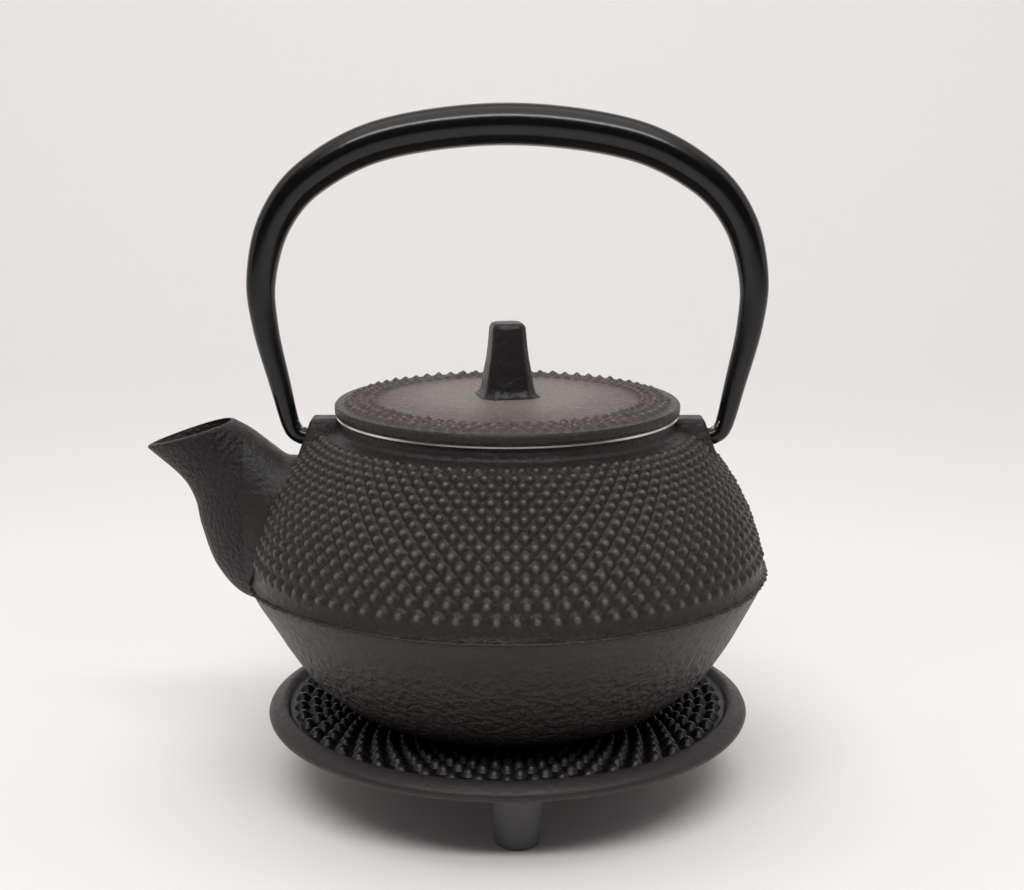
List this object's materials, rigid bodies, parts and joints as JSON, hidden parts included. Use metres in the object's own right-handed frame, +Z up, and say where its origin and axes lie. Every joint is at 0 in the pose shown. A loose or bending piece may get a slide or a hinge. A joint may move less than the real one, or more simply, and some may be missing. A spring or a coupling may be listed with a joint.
{
  "type": "cast iron teapot with infuser",
  "caption": "Small hobnailed cast-iron teapot with bail handle, lift-off lid, stainless infuser basket and matching trivet on rubber feet.",
  "frame": {"origin": "centre of the bounding box, on the surface that the trivet's feet stand on", "axes": "+Z up, the spout towards -X, the bail's hinge line parallel to X"},
  "size_m": [0.1388, 0.1164, 0.1526],
  "materials": {
    "cast_iron_black": "matt black lacquer over sand-cast skin",
    "lacquered_steel": "satin black lacquer on rolled sheet tube",
    "bare_steel": "bare rough steel",
    "stainless": "bright pressed sheet and fine mesh",
    "rubber_grey": "smooth matt"
  },
  "bodies": {
    "trivet": {"trivet_plate": "cast_iron_black", "trivet_foot_front": "rubber_grey", "trivet_foot_back_right": "rubber_grey", "trivet_foot_back_left": "rubber_grey"},
    "pot": {"pot_body": "cast_iron_black"},
    "infuser": {"infuser_rim": "stainless", "infuser_wall": "stainless", "infuser_hoop": "stainless", "infuser_floor": "stainless"},
    "lid": {"lid_plate": "cast_iron_black", "lid_knob": "cast_iron_black", "lid_knob_washer": "stainless", "lid_knob_nut": "stainless"},
    "bail": {"bail_tube": "lacquered_steel", "bail_rod_left": "bare_steel", "bail_rod_right": "bare_steel"}
  },
  "joints": [
    {"name": "pot_lift", "type": "slide", "parent": "trivet", "child": "pot", "axis": [0, 0, 1], "range_m": [0, 0.04]},
    {"name": "infuser_lift", "type": "slide", "parent": "pot", "child": "infuser", "axis": [0, 0, 1], "range_m": [0, 0.017]},
    {"name": "lid_lift", "type": "slide", "parent": "infuser", "child": "lid", "axis": [0, 0, 1], "range_m": [0, 0.019]},
    {"name": "bail_fold", "type": "hinge", "parent": "pot", "child": "bail", "pos_m": [0.0112, 0, 0.0793], "axis": [1, 0, 0], "range_deg": [-90, 90]}
  ]
}
